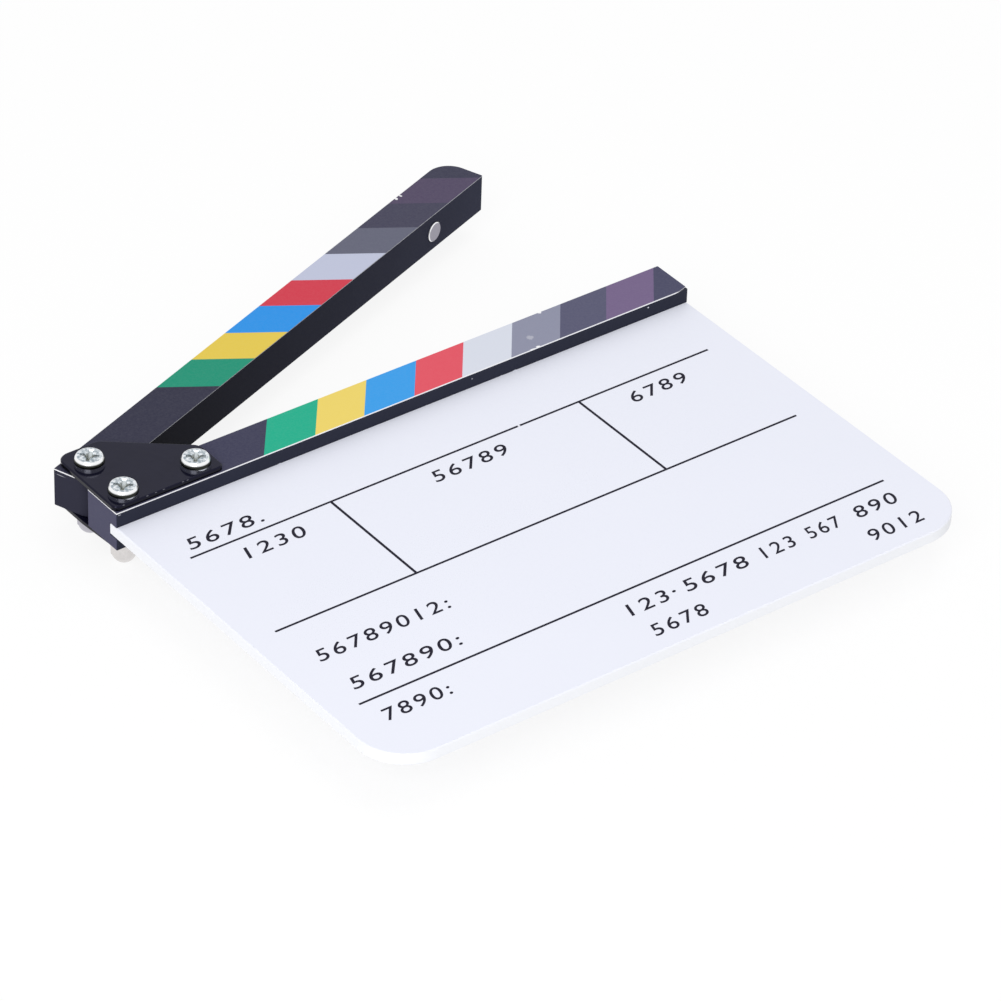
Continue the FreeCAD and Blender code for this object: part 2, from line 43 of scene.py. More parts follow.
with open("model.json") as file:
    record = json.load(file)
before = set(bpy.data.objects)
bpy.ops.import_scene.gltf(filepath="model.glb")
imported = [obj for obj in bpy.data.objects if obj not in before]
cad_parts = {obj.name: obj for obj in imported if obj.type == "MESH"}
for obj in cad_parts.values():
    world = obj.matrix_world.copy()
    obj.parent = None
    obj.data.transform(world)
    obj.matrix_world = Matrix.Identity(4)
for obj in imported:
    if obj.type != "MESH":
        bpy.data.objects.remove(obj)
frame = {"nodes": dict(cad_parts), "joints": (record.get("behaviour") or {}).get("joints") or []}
cad_low, cad_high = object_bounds()
nodes = frame["nodes"]
MM = 0.001

# Places read from the frame.
BOARD_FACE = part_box("slate_board")[1].z
LOWER_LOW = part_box("lower_stick")[0]
SCREW_LOW, SCREW_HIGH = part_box("corner_screw")
LOWER_HINGE_END = Vector((LOWER_LOW.x, LOWER_LOW.y, 0.0))
CORNER_SCREW = (SCREW_LOW + SCREW_HIGH) / 2
PIVOT = Vector(frame["joints"][0]["pos_m"])

# The angle between the two sticks as the part is stored.
REST_OPENING = math.radians(20.5)

# Camera, fitted to the picture's ruled lines and stick edges.
CAMERA_AIM = Vector((-4.049, 63.606, 1.608)) * MM
CAMERA_DISTANCE = 1221.0 * MM
CAMERA_AZIMUTH = math.radians(-37.9864)
CAMERA_ELEVATION = math.radians(35.5732)
CAMERA_ROLL = math.radians(2.0895)
CAMERA_LENS = 197.73
CAMERA_SENSOR = 36.0
CAMERA_NEAR = 10.0 * MM

# Stage, in metres. The floor lights the object as FLOOR_GREY, and is seen as a glow with a weak
# shadow. The sky has one strength for its light on the object and one where it is seen.
FLOOR_HALF = 2.5
FLOOR_GREY = 0.94
FLOOR_SHADED_GREY = 0.13
FLOOR_GLOW = 0.87
SKY_LIGHT = 0.6
SKY_SEEN = 1.0
LAMP_SIZE = 0.8
KEY_PLACE = (-0.85, -0.6, 0.8)
KEY_POWER = 8.0
FILL_PLACE = (0.25, 0.05, 1.3)
FILL_POWER = 3.2

# Colours of the materials. A pair is the dark and the pale end of an uneven tone.
ACRYLIC_FACE = ((0.828, 0.846, 0.940), (0.856, 0.872, 0.962))
ACRYLIC_CUT_AND_GLOW = (0.92, 0.932, 0.97)
LOWER_STICK = ((0.015, 0.017, 0.032), (0.021, 0.024, 0.044))
LOWER_STICK_END_SHEEN = (0.060, 0.059, 0.112)
UPPER_STICK = ((0.0015, 0.0015, 0.005), (0.003, 0.003, 0.008))
UPPER_STICK_FREE_END_SHEEN = ((0.024, 0.026, 0.048), (0.031, 0.034, 0.060))
UPPER_STICK_END_SHEEN = (0.031, 0.031, 0.050)
PLATE_COAT = ((0.003, 0.003, 0.011), (0.007, 0.007, 0.018))
PLATE_RIM_SHADE = (0.002, 0.002, 0.003)
PLATE_SHINE = (0.65, 0.65, 1.0)
SCREW_FLAT = ((0.28, 0.34, 0.38), (0.86, 0.89, 0.92))
SCREW_RECESS_SHADE = ((0.22, 0.235, 0.215), (0.40, 0.42, 0.39))
SCREW_WING_LIGHT = (0.56, 0.59, 0.60)
SCREW_SHOULDER_HIGHLIGHT = (0.93, 0.94, 0.95)
SCREW_SIDE_DARK_REFLECTION = (0.03, 0.032, 0.027)
SCREW_FOOT_REFLECTION = (0.80, 0.82, 0.83)
NICKEL = ((0.64, 0.62, 0.61), (0.82, 0.79, 0.78))
SHADED_NICKEL = ((0.43, 0.42, 0.465), (0.57, 0.56, 0.62))
MAGNET_FACE = ((0.27, 0.26, 0.31), (0.37, 0.355, 0.415))
MAGNET_RIM_HIGHLIGHT = (0.92, 0.92, 0.94)
INK = ((0.012, 0.011, 0.022), (0.020, 0.018, 0.032))
INK_WORN = (0.8, 0.8, 0.86)
FILM_PAPER = (0.93, 0.93, 0.95)
FILM_GREY_EDGE = (0.42, 0.42, 0.46)
PALE_NICK_AND_GLINT = (0.75, 0.76, 0.82)

# Stripes of the two films: the first boundary along the stick, the pitch, and the slant as a
# run along the stick for each unit across it. Both start at the hinge end.
LOWER_FIRST_STRIPE = 39.15 * MM
LOWER_STRIPE_PITCH = 13.8 * MM
LOWER_STRIPE_SLANT = 0.77
UPPER_FIRST_STRIPE = 42.6 * MM
UPPER_STRIPE_PITCH = 13.56 * MM
UPPER_STRIPE_SLANT = -0.76
PIVOT_FROM_INNER_FACE = 5.3 * MM
PIVOT_FROM_END = 5.0 * MM
FILM_EDGE_LINE = 0.12 * MM
# The lower film's inks are paler than the upper film's: partly a different print, partly painted light
# and sheen.
LOWER_INKS = (
    (0.037, 0.037, 0.081),
    (0.006, 0.420, 0.255),
    (0.850, 0.660, 0.140),
    (0.036, 0.340, 0.815),
    (0.760, 0.085, 0.122),
    (0.690, 0.721, 0.812),
    (0.266, 0.276, 0.376),
    (0.088, 0.088, 0.158),
    (0.170, 0.117, 0.240),
    (0.058, 0.058, 0.117),
)
UPPER_INKS = (
    (0.021, 0.021, 0.048),
    (0.004, 0.280, 0.170),
    (0.775, 0.580, 0.076),
    (0.018, 0.288, 0.795),
    (0.640, 0.040, 0.071),
    (0.530, 0.560, 0.710),
    (0.120, 0.125, 0.180),
    (0.049, 0.047, 0.087),
    (0.076, 0.056, 0.114),
    (0.035, 0.035, 0.070),
)

# Wear and a few painted highlights, in millimetres: each mark has its centre, its half size and
# its strength. The films' marks, and the upper stick's, are in the stick's own frame: from the
# hinge end on the lower stick, from the pivot on the upper one. The others are in the part's frame.
LOWER_FILM_MARKS = (
    ((116.3, 0.1, 5.3), (0.7, 0.65, 0.5), 1.0),
    ((114.6, 0.1, 5.3), (0.9, 0.25, 0.5), 1.0),
    ((125.0, 11.4, 5.3), (0.5, 0.5, 0.5), 1.0),
    ((117.0, 4.3, 5.3), (0.9, 0.9, 0.5), 0.24),
)
UPPER_FILM_MARKS = (
    ((131.8, 5.85, 5.2), (0.45, 0.5, 0.5), 1.0),
    ((133.5, 5.75, 5.2), (0.35, 0.45, 0.5), 0.9),
)
UPPER_STICK_MARKS = (((-5.0, 4.35, 4.15), (0.4, 1.5, 0.1), 0.4),)
LIP_MARKS = (
    ((68.3, 103.0, 4.3), (0.25, 0.3, 0.2), 1.0),
    ((29.4, 103.0, 1.5), (0.6, 0.3, 0.2), 0.8),
    ((25.6, 103.0, 1.5), (0.35, 0.3, 0.15), 0.8),
    ((17.2, 103.0, 3.9), (0.15, 0.3, 0.15), 0.8),
    ((-36.4, 103.0, 1.5), (0.5, 0.3, 0.15), 0.8),
    # This mark is a painted highlight on the lip's upper edge near the hinge.
    ((-79.2, 103.0, 4.75), (0.5, 0.3, 0.14), 0.55),
)
# Pale marks along the plate's lower rim: partly paint chips, partly painted highlights.
RIM_NICKS_AND_GLINTS = tuple(
    ((x, 103.7, 6.4), (0.35, 0.12, 0.12), 0.15) for x in (-77.6, -71.3, -69.1, -66.9, -61.8, -60.6)
)

# Plate: the relief of its coat, with faint rings round the corner screw.
PLATE_RELIEF = 0.010 * MM
RING_SCALE = 130.0
RING_WAVER = 0.4
RING_SHARE = 0.2

# Screw heads: where one tone goes over into the next, by the distance from the screw's axis and
# by the height from the top of its head. Most of these tones are painted light or shade.
WING_RADII = (0.8 * MM, 1.4 * MM)
RECESS_RADII = (2.25 * MM, 2.3 * MM)
SHOULDER_RADII = (2.85 * MM, 2.95 * MM)
RECESS_HEIGHTS = (-0.35 * MM, -0.03 * MM)
SHOULDER_HEIGHTS = (-0.7 * MM, -0.45 * MM)
SIDE_HEIGHTS = (-1.6 * MM, -1.4 * MM)
RECESS_FACETS = 8.0
RECESS_ROUGHNESS = 0.7

# Print on the board, in millimetres from the middle of its bottom edge.
RULE_WIDTH = 0.6
DIVIDER_WIDTH = 0.66
RULE_LEFT = -72.85
RULE_RIGHT = 71.6
RULE_HEIGHTS = (84.65, 52.31, 21.4)
DIVIDERS = (-35.32, 33.95)
WORN_SPOT = 16.85
PRINT_SINK = 0.01
PRINT_RISE = 0.02
DIGIT_HEIGHT = 3.95
DIGIT_SPACING = 1.25
DIGIT_BOLD = 0.03
DIGIT_SHEAR = 0.2
FONT_DIGIT_HEIGHT = 0.69
WELD_DISTANCE = 0.0005
# Each number with its left and right ends and its base line.
FIELD_NUMBERS = (
    ("5678.", -71.0, -51.3, 87.0),
    ("1230", -62.3, -46.1, 77.25),
    ("56789", -11.5, 9.5, 77.25),
    ("6789", 44.5, 60.7, 77.1),
    ("56789012:", -70.9, -35.8, 38.0),
    ("567890:", -70.6, -41.5, 26.0),
    ("7890:", -70.9, -53.5, 13.3),
    ("123", -6.1, 5.2, 13.25),
    ("·", 6.4, 7.4, 13.25),
    ("5678", 9.4, 27.4, 13.25),
    ("123", 31.2, 40.6, 13.25),
    ("567", 44.0, 54.0, 13.25),
    ("890", 57.9, 69.9, 13.25),
    ("5678", -6.2, 9.1, 4.5),
    ("9012", 55.4, 70.0, 4.7),
)


def feed(tree, socket, value):
    """Join a socket to another one, or set its value."""
    if isinstance(value, bpy.types.NodeSocket):
        tree.links.new(value, socket)
    elif socket.type == "RGBA" and len(value) == 3:
        socket.default_value = (*value, 1.0)
    else:
        socket.default_value = value


def add(tree, kind, inputs=None, **settings):
    """A node of that kind, with its settings and inputs."""
    node = tree.nodes.new("ShaderNode" + kind)
    for name, value in settings.items():
        setattr(node, name, value)
    for name, value in (inputs or {}).items():
        feed(tree, node.inputs[name], value)
    return node


def calc(tree, operation, first, second=0.0):
    """One step of arithmetic on numbers or sockets."""
    return add(tree, "Math", {0: first, 1: second}, operation=operation).outputs[0]


def vector(tree, operation, first, second):
    """One step of arithmetic on vectors."""
    return add(tree, "VectorMath", {0: first, 1: second}, operation=operation).outputs[0]


def length(tree, value):
    """The length of a vector."""
    return add(tree, "VectorMath", {0: value}, operation="LENGTH").outputs["Value"]


def blend(tree, share, first, second):
    """A colour between two, by a share from 0 to 1."""
    node = add(tree, "Mix", data_type="RGBA")
    feed(tree, node.inputs[0], share)
    feed(tree, node.inputs[6], first)
    feed(tree, node.inputs[7], second)
    return node.outputs[2]


def spread(tree, value, low, high, to_low=0.0, to_high=1.0):
    """A value moved from one range to another, and held inside it."""
    node = add(
        tree,
        "MapRange",
        {"Value": value, "From Min": low, "From Max": high, "To Min": to_low, "To Max": to_high},
    )
    return node.outputs["Result"]


def noise(tree, place, size, detail=2.0, roughness=0.5):
    """Soft noise whose lumps are about that size, from 0 to 1."""
    node = add(
        tree,
        "TexNoise",
        {"Vector": place, "Scale": 1.0 / size, "Detail": detail, "Roughness": roughness},
    )
    return node.outputs["Fac"]


def start_material(name):
    """A new material, its node tree, its shader and its coordinates."""
    material = bpy.data.materials.new(name)
    material.use_nodes = True
    tree = material.node_tree
    place = add(tree, "TexCoord")
    return material, tree, tree.nodes["Principled BSDF"], place


def set_colour(tree, shader, colour):
    """Give the shader its colour."""
    feed(tree, shader.inputs["Base Color"], colour)


def set_roughness(tree, shader, cloud, low, high, between=(0.3, 0.7)):
    """Roughness from low to high, as the noise goes from one value to the other."""
    feed(tree, shader.inputs["Roughness"], spread(tree, cloud, *between, low, high))


def set_finish(shader, **values):
    """Set the shader's own sockets, such as metallic and the level of its shine."""
    for name, value in values.items():
        shader.inputs[name.replace("_", " ")].default_value = value


def add_bump(tree, shader, height, depth, edge=None):
    """Small relief of that depth from a height between 0 and 1, on edges rounded by a radius."""
    node = add(tree, "Bump", {"Height": height, "Strength": 1.0, "Distance": depth})
    if edge:
        rounded = add(tree, "Bevel", {"Radius": edge}, samples=6)
        tree.links.new(rounded.outputs["Normal"], node.inputs["Normal"])
    tree.links.new(node.outputs["Normal"], shader.inputs["Normal"])


def own_frame(tree, place, origin, turn):
    """Coordinates along and across a stick, from a point on it."""
    node = add(
        tree,
        "Mapping",
        {"Vector": place.outputs["Object"], "Location": origin, "Rotation": (0, 0, turn)},
        vector_type="TEXTURE",
    )
    return node.outputs["Vector"]


def toward_hinge(turn):
    """The direction in which the hinge end of a stick at that turn looks."""
    return Vector((-math.cos(turn), -math.sin(turn), 0.0))


def facing(tree, place, direction):
    """How squarely a face looks in a direction, from -1 to 1."""
    inputs = {0: place.outputs["Normal"], 1: direction}
    return add(tree, "VectorMath", inputs, operation="DOT_PRODUCT").outputs["Value"]


def side_share(tree, place):
    """1 on faces that stand upright, 0 on faces that look up or down."""
    upward = calc(tree, "ABSOLUTE", facing(tree, place, (0, 0, 1)))
    return spread(tree, upward, 0.5, 0.8, 1.0, 0.0)


def fleck(tree, place, centre, size, strength, ragged=0.6):
    """Up to that strength inside a ragged mark with a centre and a half size, 0 outside."""
    offset = vector(tree, "SUBTRACT", place, Vector(centre) * MM)
    reach = length(tree, vector(tree, "DIVIDE", offset, Vector(size) * MM))
    wobble = noise(tree, place, 0.4 * MM, 3.0)
    torn = calc(tree, "MULTIPLY", calc(tree, "SUBTRACT", wobble, 0.5), 2.0 * ragged)
    return spread(tree, calc(tree, "ADD", reach, torn), 0.75, 1.0, strength, 0.0)


def flecks(tree, place, marks):
    """The strongest of several ragged marks."""
    total = 0.0
    for centre, size, strength in marks:
        total = calc(tree, "MAXIMUM", total, fleck(tree, place, centre, size, strength))
    return total


def acrylic_material():
    """White opal sheet, wiped to a soft gloss, paler on its upright cut faces: partly their own tone,
    partly a painted edge glow.
    """
    material, tree, shader, place = start_material("acrylic")
    point = place.outputs["Object"]
    face = blend(tree, noise(tree, point, 45 * MM, 3.0), *ACRYLIC_FACE)
    # Upright cut faces are paler: partly their own tone, partly a painted edge glow.
    set_colour(tree, shader, blend(tree, side_share(tree, place), face, ACRYLIC_CUT_AND_GLOW))
    wipes = {"Vector": point, "Rotation": (0, 0, 0.5), "Scale": (0.18, 1, 1)}
    stretched = add(tree, "Mapping", wipes).outputs["Vector"]
    set_roughness(tree, shader, noise(tree, stretched, 5 * MM, 4.0), 0.36, 0.44)
    add_bump(tree, shader, noise(tree, point, 0.9 * MM, 2.0), 0.001 * MM)
    set_finish(shader, Specular_IOR_Level=0.18)
    return material


def finish_stick(tree, shader, point, colour, gloss):
    """Satin grain of a black bar, with its edges a little rounded."""
    set_colour(tree, shader, colour)
    fine = noise(tree, point, 0.35 * MM, 3.0)
    set_roughness(tree, shader, fine, 0.38, 0.55, between=(0.25, 0.75))
    add_bump(tree, shader, fine, 0.006 * MM, edge=0.2 * MM)
    set_finish(shader, Specular_IOR_Level=gloss)


def lower_stick_material():
    """Blue-black bar with sawn ends paler in a painted sheen, and pale nicks along its lip, one of
    them a painted highlight.
    """
    material, tree, shader, place = start_material("lower_stick_black")
    point = place.outputs["Object"]
    body = blend(tree, noise(tree, point, 12 * MM, 3.0), *LOWER_STICK)
    # The sawn ends are paler in a painted sheen.
    end_sheen = spread(tree, calc(tree, "ABSOLUTE", facing(tree, place, (1, 0, 0))), 0.6, 0.85)
    colour = blend(tree, end_sheen, body, LOWER_STICK_END_SHEEN)
    colour = blend(tree, flecks(tree, point, LIP_MARKS), colour, PALE_NICK_AND_GLINT)
    finish_stick(tree, shader, point, colour, gloss=0.12)
    return material


def upper_stick_material():
    """Black bar in painted shade near the hinge and painted sheen towards its free end, with a scuffed
    hinge end paler in a painted sheen.
    """
    material, tree, shader, place = start_material("upper_stick_black")
    point = place.outputs["Object"]
    own = own_frame(tree, place, PIVOT, REST_OPENING)
    along = add(tree, "SeparateXYZ", {"Vector": own}).outputs["X"]
    cloud = noise(tree, point, 12 * MM, 3.0)
    dark = blend(tree, cloud, *UPPER_STICK)
    free_end_sheen = blend(tree, cloud, *UPPER_STICK_FREE_END_SHEEN)
    # Painted shade near the hinge, where the lower stick closes in, going over into a painted sheen
    # towards the free end.
    body = blend(tree, spread(tree, along, 10 * MM, 150 * MM), dark, free_end_sheen)
    # The hinge end is paler in a painted sheen.
    end_sheen = spread(tree, facing(tree, place, toward_hinge(REST_OPENING)), 0.6, 0.85)
    colour = blend(tree, end_sheen, body, UPPER_STICK_END_SHEEN)
    colour = blend(tree, flecks(tree, own, UPPER_STICK_MARKS), colour, PALE_NICK_AND_GLINT)
    finish_stick(tree, shader, point, colour, gloss=0.03)
    return material


def stripe_colour(tree, along, across, first, pitch, slant, inks):
    """Slanted bands of ink, the first of them at the hinge end."""
    level = calc(tree, "SUBTRACT", along, calc(tree, "MULTIPLY", across, slant))
    count = calc(tree, "DIVIDE", calc(tree, "SUBTRACT", level, first - pitch), pitch * len(inks))
    ramp = add(tree, "ValToRGB", {"Fac": count})
    ramp.color_ramp.interpolation = "CONSTANT"
    steps = ramp.color_ramp.elements
    while len(steps) < len(inks):
        steps.new(1.0)
    for index, ink in enumerate(inks):
        steps[index].position = index / len(inks)
        steps[index].color = (*ink, 1.0)
    return ramp.outputs["Color"]


def edge_wear_and_highlight(tree, parts, low):
    """1 in a thin line along the film's hinge end, and along its board side where that has a place;
    the line is partly worn paper, partly a painted highlight.
    """
    total = 0.0
    for axis, start in zip("XY", low):
        if start is not None:
            inner = start + FILM_EDGE_LINE
            outer = start + 1.5 * FILM_EDGE_LINE
            line = spread(tree, parts.outputs[axis], inner, outer, 1.0, 0.0)
            total = calc(tree, "MAXIMUM", total, line)
    return total


def film_material(name, origin, turn, low, first, pitch, slant, inks, edge, marks):
    """Printed film: stripes in the stick's own frame, paper at its hinge end and in its chips, and a
    pale edge line that is partly a painted highlight.
    """
    material, tree, shader, place = start_material(name)
    own = own_frame(tree, place, origin, turn)
    parts = add(tree, "SeparateXYZ", {"Vector": own})
    stripes = stripe_colour(tree, parts.outputs["X"], parts.outputs["Y"], first, pitch, slant, inks)
    mottle = noise(tree, place.outputs["Object"], 0.5 * MM, 3.0, 0.6)
    printed = blend(tree, spread(tree, mottle, 0.2, 0.8, 0.0, 0.03), stripes, FILM_PAPER)
    # The edge line is partly worn paper, partly a painted highlight.
    bare_and_glint = calc(tree, "MAXIMUM", flecks(tree, own, marks), edge_wear_and_highlight(tree, parts, low))
    colour = blend(tree, bare_and_glint, printed, FILM_PAPER)
    at_hinge = spread(tree, facing(tree, place, toward_hinge(turn)), 0.5, 0.8)
    cut = blend(tree, at_hinge, edge, FILM_PAPER)
    set_colour(tree, shader, blend(tree, side_share(tree, place), colour, cut))
    set_roughness(tree, shader, mottle, 0.36, 0.46, between=(0.2, 0.8))
    add_bump(tree, shader, mottle, 0.004 * MM)
    set_finish(shader, Specular_IOR_Level=0.085)
    return material


def plate_material():
    """Glossy black coat on sheet steel: slight orange peel, faint rings, a rim darkened in painted
    shade, and a lower rim with nicks and painted highlights.
    """
    material, tree, shader, place = start_material("plate_black")
    point = place.outputs["Object"]
    cloud = noise(tree, point, 4 * MM, 3.0)
    # Upright faces of the rim are darkened in painted shade.
    coat = blend(tree, side_share(tree, place), blend(tree, cloud, *PLATE_COAT), PLATE_RIM_SHADE)
    # Pale marks on the lower rim: partly nicks, partly painted highlights.
    set_colour(tree, shader, blend(tree, flecks(tree, point, RIM_NICKS_AND_GLINTS), coat, PALE_NICK_AND_GLINT))
    set_roughness(tree, shader, cloud, 0.08, 0.14)
    from_screw = vector(tree, "SUBTRACT", point, CORNER_SCREW)
    rings = add(
        tree,
        "TexWave",
        {"Vector": from_screw, "Scale": RING_SCALE, "Distortion": RING_WAVER},
        wave_type="RINGS",
        rings_direction="Z",
    )
    faint = calc(tree, "MULTIPLY", rings.outputs["Fac"], RING_SHARE)
    relief = calc(tree, "ADD", noise(tree, point, 1.1 * MM, 2.0), faint)
    add_bump(tree, shader, relief, PLATE_RELIEF, edge=0.15 * MM)
    set_finish(shader, Specular_IOR_Level=0.21, Specular_Tint=(*PLATE_SHINE, 1.0))
    return material


def recess_colour(tree, parts, radius):
    """Painted shade in a screw's cross recess, with painted light and shade on radial facets in its
    middle, and wings painted paler.
    """
    turns = calc(tree, "MULTIPLY", calc(tree, "ARCTAN2", parts["Y"], parts["X"]), RECESS_FACETS)
    facets = spread(tree, calc(tree, "SINE", turns), -0.6, 0.6)
    core = blend(tree, facets, *SCREW_RECESS_SHADE)
    return blend(tree, spread(tree, radius, *WING_RADII), core, SCREW_WING_LIGHT)


def rim_colour(tree, height):
    """A screw head's shoulder with a painted highlight, its side with a painted dark reflection, and
    its foot below that with a painted bright reflection.
    """
    side = blend(tree, spread(tree, height, *SIDE_HEIGHTS), SCREW_FOOT_REFLECTION, SCREW_SIDE_DARK_REFLECTION)
    return blend(tree, spread(tree, height, *SHOULDER_HEIGHTS), side, SCREW_SHOULDER_HIGHLIGHT)


def screw_material():
    """Bright zinc: a mottled flat, a dull cross recess in painted shade, and a rim of painted
    highlight and reflections.
    """
    material, tree, shader, place = start_material("zinc")
    share = vector(tree, "SUBTRACT", place.outputs["Generated"], (0.5, 0.5, 1.0))
    from_top = vector(tree, "MULTIPLY", share, SCREW_HIGH - SCREW_LOW)
    parts = add(tree, "SeparateXYZ", {"Vector": from_top}).outputs
    radius = length(tree, vector(tree, "MULTIPLY", from_top, (1, 1, 0)))
    cloud = noise(tree, from_top, 0.9 * MM, 4.0, 0.6)
    flat = blend(tree, spread(tree, cloud, 0.4, 0.6), *SCREW_FLAT)
    inside = spread(tree, radius, *RECESS_RADII, 1.0, 0.0)
    deep = spread(tree, parts["Z"], *RECESS_HEIGHTS, 1.0, 0.0)
    recess = calc(tree, "MULTIPLY", inside, deep)
    colour = blend(tree, recess, flat, recess_colour(tree, parts, radius))
    outside = spread(tree, radius, *SHOULDER_RADII)
    set_colour(tree, shader, blend(tree, outside, colour, rim_colour(tree, parts["Z"])))
    polish = spread(tree, cloud, 0.3, 0.7, 0.14, 0.26)
    dull = calc(tree, "MULTIPLY", recess, RECESS_ROUGHNESS)
    feed(tree, shader.inputs["Roughness"], calc(tree, "MAXIMUM", polish, dull))
    add_bump(tree, shader, cloud, 0.004 * MM)
    set_finish(shader, Metallic=1.0)
    return material


def nut_material(name, tones):
    """Nickel with a little tarnish, between a dark and a bright tone, darker ones for a nut in painted
    shade.
    """
    material, tree, shader, place = start_material(name)
    cloud = noise(tree, place.outputs["Object"], 1.4 * MM, 4.0, 0.6)
    set_colour(tree, shader, blend(tree, cloud, *tones))
    set_roughness(tree, shader, cloud, 0.14, 0.26)
    add_bump(tree, shader, cloud, 0.003 * MM)
    set_finish(shader, Metallic=1.0)
    return material


def magnet_material(name, outward):
    """Dull nickel on a disc magnet, with a painted highlight along the rim of the face that looks
    outward.
    """
    material, tree, shader, place = start_material(name)
    cloud = noise(tree, place.outputs["Object"], 0.8 * MM, 4.0, 0.6)
    face = blend(tree, cloud, *MAGNET_FACE)
    square = facing(tree, place, outward)
    turned = spread(tree, square, 0.75, 0.9, 1.0, 0.0)
    rim = calc(tree, "MULTIPLY", spread(tree, square, 0.5, 0.65), turned)
    set_colour(tree, shader, blend(tree, rim, face, MAGNET_RIM_HIGHLIGHT))
    set_roughness(tree, shader, cloud, 0.28, 0.42)
    add_bump(tree, shader, cloud, 0.003 * MM)
    set_finish(shader, Metallic=1.0)
    return material


def ink_material():
    """Black print, a little uneven, with a worn spot on the top rule."""
    material, tree, shader, place = start_material("print_ink")
    point = place.outputs["Object"]
    cloud = noise(tree, point, 0.6 * MM, 3.0)
    spot = (WORN_SPOT, RULE_HEIGHTS[0], BOARD_FACE / MM)
    worn = fleck(tree, point, spot, (0.35, 0.4, 0.4), 1.0, ragged=0.3)
    set_colour(tree, shader, blend(tree, worn, blend(tree, cloud, *INK), INK_WORN))
    set_roughness(tree, shader, cloud, 0.4, 0.55)
    set_finish(shader, Specular_IOR_Level=0.06)
    return material


def paint(material, *names):
    """Give carried-over nodes their finished material."""
    for name in names:
        mesh = nodes[name].data
        mesh.materials.clear()
        mesh.materials.append(material)


def paint_films():
    """The two printed films, each in its own stick's frame."""
    lower = film_material(
        "lower_film",
        origin=LOWER_HINGE_END,
        turn=0.0,
        low=(0.0, 0.0),
        first=LOWER_FIRST_STRIPE,
        pitch=LOWER_STRIPE_PITCH,
        slant=LOWER_STRIPE_SLANT,
        inks=LOWER_INKS,
        edge=FILM_PAPER,
        marks=LOWER_FILM_MARKS,
    )
    paint(lower, "lower_stick_label")
    upper = film_material(
        "upper_film",
        origin=PIVOT,
        turn=REST_OPENING,
        low=(-PIVOT_FROM_END, None),
        first=UPPER_FIRST_STRIPE + UPPER_STRIPE_SLANT * PIVOT_FROM_INNER_FACE,
        pitch=UPPER_STRIPE_PITCH,
        slant=UPPER_STRIPE_SLANT,
        inks=UPPER_INKS,
        edge=FILM_GREY_EDGE,
        marks=UPPER_FILM_MARKS,
    )
    paint(upper, "upper_stick_label")


def paint_magnets():
    """The two magnets, each with a painted highlight along the rim on the other stick's side."""
    paint(magnet_material("lower_magnet", (0, 1, 0)), "lower_magnet")
    inward = Vector((math.sin(REST_OPENING), -math.cos(REST_OPENING), 0.0))
    paint(magnet_material("upper_magnet", inward), "upper_magnet")


def paint_nodes():
    """The finish of every CAD piece."""
    paint(acrylic_material(), "slate_board")
    paint(lower_stick_material(), "lower_stick")
    paint(upper_stick_material(), "upper_stick")
    paint_films()
    paint(plate_material(), "front_hinge_plate", "rear_hinge_plate")
    paint(screw_material(), "pivot_screw", "corner_screw", "outer_screw")
    paint(nut_material("nickel", NICKEL), "corner_cap_nut", "outer_cap_nut")
    # The pivot nut is darker in painted shade, where it sits under the stick's end.
    paint(nut_material("shaded_nickel", SHADED_NICKEL), "pivot_cap_nut")
    paint_magnets()


def add_piece(name, work, material):
    """A new piece of the object, from finished mesh work, that rides with the slate."""
    mesh = bpy.data.meshes.new(name)
    work.to_mesh(mesh)
    work.free()
    mesh.materials.append(material)
    piece = bpy.data.objects.new(name, mesh)
    bpy.context.scene.collection.objects.link(piece)
    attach(piece, "slate")


def strip(work, low, high):
    """A thin closed block of ink between two corners on the board's face."""
    bottom = BOARD_FACE - PRINT_SINK * MM
    top = BOARD_FACE + PRINT_RISE * MM
    corners = ((low[0], low[1]), (high[0], low[1]), (high[0], high[1]), (low[0], high[1]))
    under = [work.verts.new((x * MM, y * MM, bottom)) for x, y in corners]
    over = [work.verts.new((x * MM, y * MM, top)) for x, y in corners]
    work.faces.new(reversed(under))
    work.faces.new(over)
    for index in range(len(corners)):
        after = (index + 1) % len(corners)
        work.faces.new((under[index], under[after], over[after], over[index]))


def ruled_lines(ink):
    """Three long rules, and two dividers between the first and the second."""
    half = RULE_WIDTH / 2
    work = bmesh.new()
    for height in RULE_HEIGHTS:
        strip(work, (RULE_LEFT, height - half), (RULE_RIGHT, height + half))
    low = RULE_HEIGHTS[1] + half
    high = RULE_HEIGHTS[0] - half
    for place in DIVIDERS:
        strip(work, (place - DIVIDER_WIDTH / 2, low), (place + DIVIDER_WIDTH / 2, high))
    add_piece("ruled_lines", work, ink)


def digits(text):
    """The thin closed mesh of a short number, in millimetres, on its base line."""
    curve = bpy.data.curves.new("digits", "FONT")
    curve.body = text
    curve.size = DIGIT_HEIGHT / FONT_DIGIT_HEIGHT
    curve.space_character = DIGIT_SPACING
    curve.shear = DIGIT_SHEAR
    curve.offset = DIGIT_BOLD
    curve.extrude = (PRINT_SINK + PRINT_RISE) / 2
    helper = bpy.data.objects.new("digits", curve)
    mesh = bpy.data.meshes.new_from_object(helper)
    bpy.data.objects.remove(helper)
    bpy.data.curves.remove(curve)
    return mesh


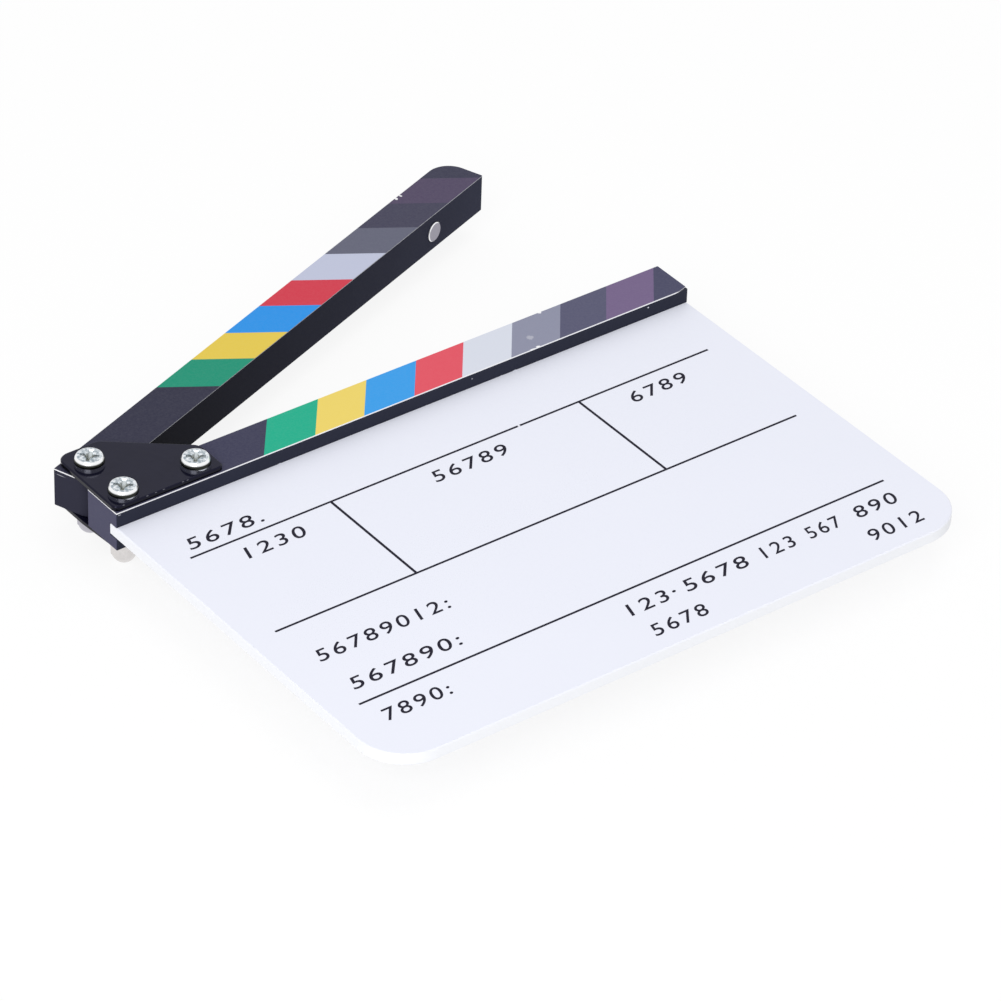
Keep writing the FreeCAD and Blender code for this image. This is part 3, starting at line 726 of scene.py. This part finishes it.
def field_numbers(ink):
    """Plain numbers in the board's fields, each stretched to its place."""
    work = bmesh.new()
    middle = BOARD_FACE / MM + (PRINT_RISE - PRINT_SINK) / 2
    for text, left, right, base in FIELD_NUMBERS:
        mesh = digits(text)
        ends = [vertex.co.x for vertex in mesh.vertices]
        stretch = (right - left) / (max(ends) - min(ends))
        to_place = Matrix.Translation((left - min(ends) * stretch, base, middle))
        mesh.transform(Matrix.Scale(MM, 4) @ to_place @ Matrix.Diagonal((stretch, 1.0, 1.0, 1.0)))
        work.from_mesh(mesh)
        bpy.data.meshes.remove(mesh)
    bmesh.ops.remove_doubles(work, verts=work.verts, dist=WELD_DISTANCE * MM)
    add_piece("field_numbers", work, ink)


def seen_share(tree):
    """1 for rays from the camera, from reflections and through clear things."""
    rays = add(tree, "LightPath").outputs
    seen = calc(tree, "MAXIMUM", rays["Is Camera Ray"], rays["Is Glossy Ray"])
    return calc(tree, "MAXIMUM", seen, rays["Is Transmission Ray"])


def floor_material():
    """Pale floor that looks white, and keeps the object's shadow."""
    material = bpy.data.materials.new("floor")
    material.use_nodes = True
    tree = material.node_tree
    tree.nodes.remove(tree.nodes["Principled BSDF"])
    plain = add(tree, "BsdfDiffuse", {"Color": (FLOOR_GREY,) * 3})
    shaded = add(tree, "BsdfDiffuse", {"Color": (FLOOR_SHADED_GREY,) * 3})
    glow = add(tree, "Emission", {"Strength": FLOOR_GLOW})
    pale = add(tree, "AddShader", {0: shaded.outputs[0], 1: glow.outputs[0]})
    both = add(tree, "MixShader", {0: seen_share(tree), 1: plain.outputs[0], 2: pale.outputs[0]})
    tree.links.new(both.outputs[0], tree.nodes["Material Output"].inputs["Surface"])
    return material


def make_floor():
    """The floor under the object, at its lowest point."""
    work = bmesh.new()
    bmesh.ops.create_grid(work, x_segments=1, y_segments=1, size=FLOOR_HALF)
    mesh = bpy.data.meshes.new("floor")
    work.to_mesh(mesh)
    work.free()
    mesh.materials.append(floor_material())
    floor = bpy.data.objects.new("floor", mesh)
    floor.location = (0, 0, cad_low.z)
    bpy.context.scene.collection.objects.link(floor)


def make_world():
    """White surroundings, with a plainer light on the object."""
    world = bpy.data.worlds.new("studio")
    world.use_nodes = True
    tree = world.node_tree
    background = tree.nodes["Background"]
    background.inputs["Color"].default_value = (1, 1, 1, 1)
    strength = spread(tree, seen_share(tree), 0.0, 1.0, SKY_LIGHT, SKY_SEEN)
    tree.links.new(strength, background.inputs["Strength"])
    bpy.context.scene.world = world


def soft_lamp(name, place, power):
    """A square soft box that faces the object."""
    data = bpy.data.lights.new(name, "AREA")
    data.size = LAMP_SIZE
    data.energy = power
    lamp = bpy.data.objects.new(name, data)
    lamp.location = place
    toward = CAMERA_AIM - lamp.location
    lamp.rotation_euler = toward.to_track_quat("-Z", "Y").to_euler()
    bpy.context.scene.collection.objects.link(lamp)


def make_camera():
    """The picture's own view."""
    data = bpy.data.cameras.new("camera")
    data.sensor_width = CAMERA_SENSOR
    data.lens = CAMERA_LENS
    data.clip_start = CAMERA_NEAR
    level = math.cos(CAMERA_ELEVATION)
    across = math.sin(CAMERA_AZIMUTH) * level
    away = -math.cos(CAMERA_AZIMUTH) * level
    back = Vector((across, away, math.sin(CAMERA_ELEVATION)))
    camera = bpy.data.objects.new("camera", data)
    camera.location = CAMERA_AIM + back * CAMERA_DISTANCE
    roll = Quaternion((0, 0, 1), CAMERA_ROLL)
    camera.rotation_mode = "QUATERNION"
    camera.rotation_quaternion = (-back).to_track_quat("-Z", "Y") @ roll
    bpy.context.scene.collection.objects.link(camera)
    bpy.context.scene.camera = camera


paint_nodes()
black_ink = ink_material()
ruled_lines(black_ink)
field_numbers(black_ink)
make_floor()
make_world()
soft_lamp("key", KEY_PLACE, KEY_POWER)
soft_lamp("fill", FILL_PLACE, FILL_POWER)
make_camera()
bpy.context.scene.view_settings.view_transform = "Standard"
